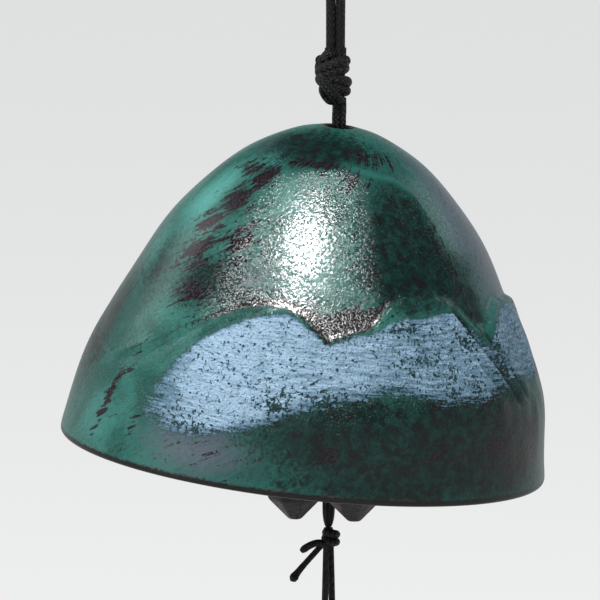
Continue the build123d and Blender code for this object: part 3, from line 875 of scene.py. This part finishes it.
# a lobe's outline, as shares of its half width and height
clapperLobe = [(0, 0), (0.2, 0), (0.82, 0.28), (1, 0.52), (0.93, 0.78), (0.62, 1), (0, 1)]
clapperLook = {
    "iron": (0.0095, 0.0080, 0.0085),
    "worn": (0.022, 0.018, 0.018),
    "rust": (0.030, 0.016, 0.012),
    "grainHeight": 0.00035,
    "patchHeight": 0.0008,
}


def clapperMaterial():
    look = clapperLook
    material, tree, shader = newMaterial("castClapper", 0.42, coat=0.12, coatRoughness=0.2, specular=0.15)
    place = objectPlace(tree)
    grain = noiseOn(tree, place, 1500, 4, 0.65)
    patches = noiseOn(tree, place, 260, 4, 0.6)
    iron = mixed(tree, graded(tree, grain, 0.55, 0.75), look["iron"], look["worn"])
    colour = mixed(tree, graded(tree, patches, 0.52, 0.72), iron, look["rust"])
    tree.links.new(colour, shader.inputs["Base Color"])
    tree.links.new(graded(tree, grain, 0.3, 0.7, 0.34, 0.6), shader.inputs["Roughness"])
    normal = bumped(tree, grain, look["grainHeight"])
    tree.links.new(bumped(tree, patches, look["patchHeight"], normal), shader.inputs["Normal"])
    return material


def cutFrom(piece, cutter):
    # the cutter is used up
    cut = piece.modifiers.new("cut", "BOOLEAN")
    cut.operation = "DIFFERENCE"
    cut.solver = "EXACT"
    cut.object = cutter
    applyModifiers(piece)
    bpy.data.objects.remove(cutter)


def makeClapper():
    size = clapperSize
    half, high = size["lobeWidth"] / 2, size["height"]
    outline = [(across * half / math.cos(math.pi / 8), up * high) for across, up in clapperLobe]
    reach = (size["width"] - size["lobeWidth"]) / 2
    wide, low, edge = size["hubRadius"], size["hubRecess"], size["edge"]
    pieces = [spinOutline("hub", [(0, low), (wide - edge, low), (wide, low + edge), (wide, high * 0.9),
                                  (wide - size["topEdge"], high * 0.95), (0, high * 0.95)], size["steps"])]
    for index in range(4):
        lobe = spinOutline("lobe", outline, 8)
        turn = Matrix.Rotation(math.radians(size["turn"] + index * 90), 4, "Z")
        setDown(lobe, turn @ Matrix.Translation((reach, 0, 0)) @ Matrix.Rotation(math.pi / 8, 4, "Z"))
        pieces.append(lobe)
    clapper = joined("castClapper", pieces)
    cast = clapper.modifiers.new("cast", "REMESH")
    cast.mode = "VOXEL"
    cast.voxel_size = size["grain"]
    soft = clapper.modifiers.new("soft", "SMOOTH")
    soft.iterations = 4
    soft.factor = 0.5
    applyModifiers(clapper)
    low = -size["overrun"]
    cuts = {"bore": (size["bore"], size["boreTop"]), "cup": (size["cup"], size["cupDepth"])}
    for name, (radius, top) in cuts.items():
        outline = [(0, low), (radius, low), (radius, top), (0, top)]
        cutFrom(clapper, spinOutline(name, outline, size["steps"]))
    smoothShade(clapper, 40)
    hanging = leaned(size["pivot"], size["lean"])
    setDown(clapper, hanging @ Matrix.Translation((0, 0, size["lift"] - size["cordLength"])))
    dress(clapper, clapperMaterial())
    finishPiece(clapper, "clapper", "clapper")


# Paper strip

stripSize = {
    "width": 0.042,
    "length": 0.110,
    "thickness": 0.00032,
    "top": -0.11914,
    "hole": (-0.12524, 0.0016),
    "punch": 0.005,
    "turn": 50,
    "middle": (-0.0011169, 0),
    "curlStart": 0.012,
    "curlDown": 0.0042,
    "curlAcross": 0.0009,
    "edge": 0.00006,
}
stripLook = {
    "paper": (0.78, 0.745, 0.66),
    "fibre": (0.62, 0.56, 0.45),
    "pale": (0.86, 0.84, 0.77),
    "cloudHeight": 0.0004,
    "fibreHeight": 0.00006,
    "grainHeight": 0.00008,
}


def paperMaterial():
    look = stripLook
    material, tree, shader = newMaterial("washiPaper", 0.82, specular=0.25)
    place = objectPlace(tree)
    turned = tree.nodes.new("ShaderNodeMapping")
    turned.vector_type = "TEXTURE"
    turned.inputs["Rotation"].default_value = (0, 0, math.radians(stripSize["turn"]))
    tree.links.new(place, turned.inputs["Vector"])
    flat = turned.outputs[0]
    cloudy = noiseOn(tree, flat, 95, 4, 0.6)
    long = noiseOn(tree, stretched(tree, flat, (1, 1, 0.09)), 1300, 2, 0.5, 1.6)
    cross = noiseOn(tree, stretched(tree, flat, (1, 0.12, 1)), 1150, 2, 0.5, 1.9)
    fibres = maths(tree, "MAXIMUM", graded(tree, long, 0.66, 0.72), graded(tree, cross, 0.68, 0.74))
    colour = mixed(tree, graded(tree, cloudy, 0.35, 0.65), look["paper"], look["pale"])
    colour = mixed(tree, maths(tree, "MULTIPLY", fibres, 0.5), colour, look["fibre"])
    tree.links.new(colour, shader.inputs["Base Color"])
    normal = bumped(tree, cloudy, look["cloudHeight"])
    normal = bumped(tree, noiseOn(tree, flat, 2600, 3, 0.6), look["grainHeight"], normal)
    tree.links.new(bumped(tree, fibres, look["fibreHeight"], normal), shader.inputs["Normal"])
    return material


def makeStrip():
    size = stripSize
    bpy.ops.object.select_all(action="DESELECT")
    bpy.ops.mesh.primitive_grid_add(x_subdivisions=30, y_subdivisions=78, size=1)
    strip = bpy.context.object
    strip.name = "paperStrip"
    # the grid stands up with its thickness along X, as the strip hangs
    setDown(strip, Matrix.Rotation(math.pi / 2, 4, "Z") @ Matrix.Rotation(math.pi / 2, 4, "X")
            @ Matrix.Diagonal((size["width"], size["length"], 1, 1)))
    thick = strip.modifiers.new("thick", "SOLIDIFY")
    thick.thickness = size["thickness"]
    thick.offset = 0
    applyModifiers(strip)
    middle = size["top"] - size["length"] / 2
    hole, radius = size["hole"]
    reach = size["punch"]
    punch = spinOutline("punch", [(0, -reach), (radius, -reach), (radius, reach), (0, reach)], 32)
    setDown(punch, Matrix.Translation((0, 0, hole - middle)) @ Matrix.Rotation(math.pi / 2, 4, "Y"))
    cutFrom(strip, punch)
    # the paper has a slight curl along its length
    for vertex in strip.data.vertices:
        down = min(max((size["length"] / 2 - size["curlStart"] - vertex.co.z) / size["length"], 0), 1)
        across = vertex.co.y / size["width"] * 2
        vertex.co.x += size["curlDown"] * down ** 2 - size["curlAcross"] * across ** 2 * min(down * 4, 1)
    edges = strip.modifiers.new("edges", "BEVEL")
    edges.width = size["edge"]
    edges.segments = 1
    edges.limit_method = "ANGLE"
    applyModifiers(strip)
    smoothShade(strip, 40)
    turn = Matrix.Rotation(math.radians(size["turn"]), 4, "Z")
    setDown(strip, Matrix.Translation((*size["middle"], middle)) @ turn)
    dress(strip, paperMaterial())
    finishPiece(strip, "paper_strip", "strip")


# Camera at the photograph's angle

view = {
    "target": (-0.00586, 0, -0.06335),
    "elevation": 9.5,
    "distance": 1.2,
    "width": 0.09936,
    "sensor": 36,
}


def makeCamera():
    bpy.ops.object.select_all(action="DESELECT")
    rise = math.radians(view["elevation"])
    back = Vector((0, -math.cos(rise), math.sin(rise))) * view["distance"]
    bpy.ops.object.camera_add(location=Vector(view["target"]) + back, rotation=(math.pi / 2 - rise, 0, 0))
    camera = bpy.context.object
    camera.data.sensor_width = view["sensor"]
    camera.data.lens = view["sensor"] * view["distance"] / view["width"]
    bpy.context.scene.camera = camera
    bpy.context.scene.view_settings.view_transform = "Standard"


stage = {
    "floor": -0.2302,
    "floorSize": 24,
    "floorColour": (0.80, 0.80, 0.79),
    "floorSeen": (0.96, 0.965, 0.97, 1),
    "floorPale": 0.7,
    "worldColour": (0.97, 0.985, 1, 1),
    "worldLight": 0.24,
    "backdrop": 0.95,
    "above": 0.12,
    "wallTop": (0.06, 0.24),
    "aim": (0, 0, -0.06),
    "lamps": [
        ("overhead", (-0.085, -0.38, 0.61), (0.19, 0.40), 8.0, (1, 1, 1)),
        ("leftFront", (-0.95, -0.5, 0.12), (0.7, 0.7), 1.8, (1, 0.99, 0.97)),
        ("leftBack", (-0.75, 0.42, 0.45), (0.5, 0.5), 2.4, (1, 1, 1)),
        ("rightBack", (0.70, 0.50, 0.42), (0.35, 0.35), 0.9, (0.9, 0.95, 1)),
    ],
}


def makeFloor():
    bpy.ops.object.select_all(action="DESELECT")
    bpy.ops.mesh.primitive_plane_add(size=stage["floorSize"], location=(0, 0, stage["floor"]))
    floor = bpy.context.object
    floor.name = "floor"
    material, tree, shader = newMaterial("paleFloor", 0.9, specular=0.1)
    shader.inputs["Base Color"].default_value = (*stage["floorColour"], 1)
    # the camera sees the floor paler than it is lit, and its shadows stay
    pale = tree.nodes.new("ShaderNodeEmission")
    pale.inputs["Color"].default_value = stage["floorSeen"]
    blend = tree.nodes.new("ShaderNodeMixShader")
    feed(tree, blend.inputs[0], maths(tree, "MULTIPLY", seenRays(tree), stage["floorPale"]))
    tree.links.new(shader.outputs[0], blend.inputs[1])
    tree.links.new(pale.outputs[0], blend.inputs[2])
    tree.links.new(blend.outputs[0], tree.nodes["Material Output"].inputs["Surface"])
    floor.data.materials.append(material)


def makeWorld():
    world = bpy.data.worlds.new("softStudio")
    bpy.context.scene.world = world
    world.use_nodes = True
    tree = world.node_tree
    background = tree.nodes["Background"]
    background.inputs["Color"].default_value = stage["worldColour"]
    # the backdrop stands round the stage, pale up to eye height and darker above, as a studio's walls are
    height = tree.nodes.new("ShaderNodeSeparateXYZ")
    tree.links.new(tree.nodes.new("ShaderNodeTexCoord").outputs["Generated"], height.inputs[0])
    walls = graded(tree, height.outputs[2], *stage["wallTop"], stage["backdrop"], stage["above"])
    strength = tree.nodes.new("ShaderNodeMix")
    feed(tree, strength.inputs[0], seenRays(tree))
    feed(tree, strength.inputs[2], stage["worldLight"])
    feed(tree, strength.inputs[3], walls)
    tree.links.new(strength.outputs[0], background.inputs["Strength"])


def makeLamps():
    for name, place, size, power, colour in stage["lamps"]:
        bpy.ops.object.select_all(action="DESELECT")
        bpy.ops.object.light_add(type="AREA", location=place)
        lamp = bpy.context.object
        lamp.name = name
        lamp.data.shape = "ELLIPSE"
        lamp.data.size, lamp.data.size_y = size
        lamp.data.energy = power
        lamp.data.color = colour
        aim = Vector(stage["aim"]) - Vector(place)
        lamp.rotation_euler = aim.to_track_quat("-Z", "Y").to_euler()


makeCamera()
makeFreeCord("loopCord", "hanging_loop", "hanger", loopCord)
makeFreeCord("stripThread", "strip_cord", "strip_line", stripCord)
print("camera and cords made")
makeBell()
print("bell made")
makeKnots()
print("knots made")
makeClapper()
makeStrip()
print("clapper and strip made")
makeFloor()
makeWorld()
makeLamps()
print("stage made")
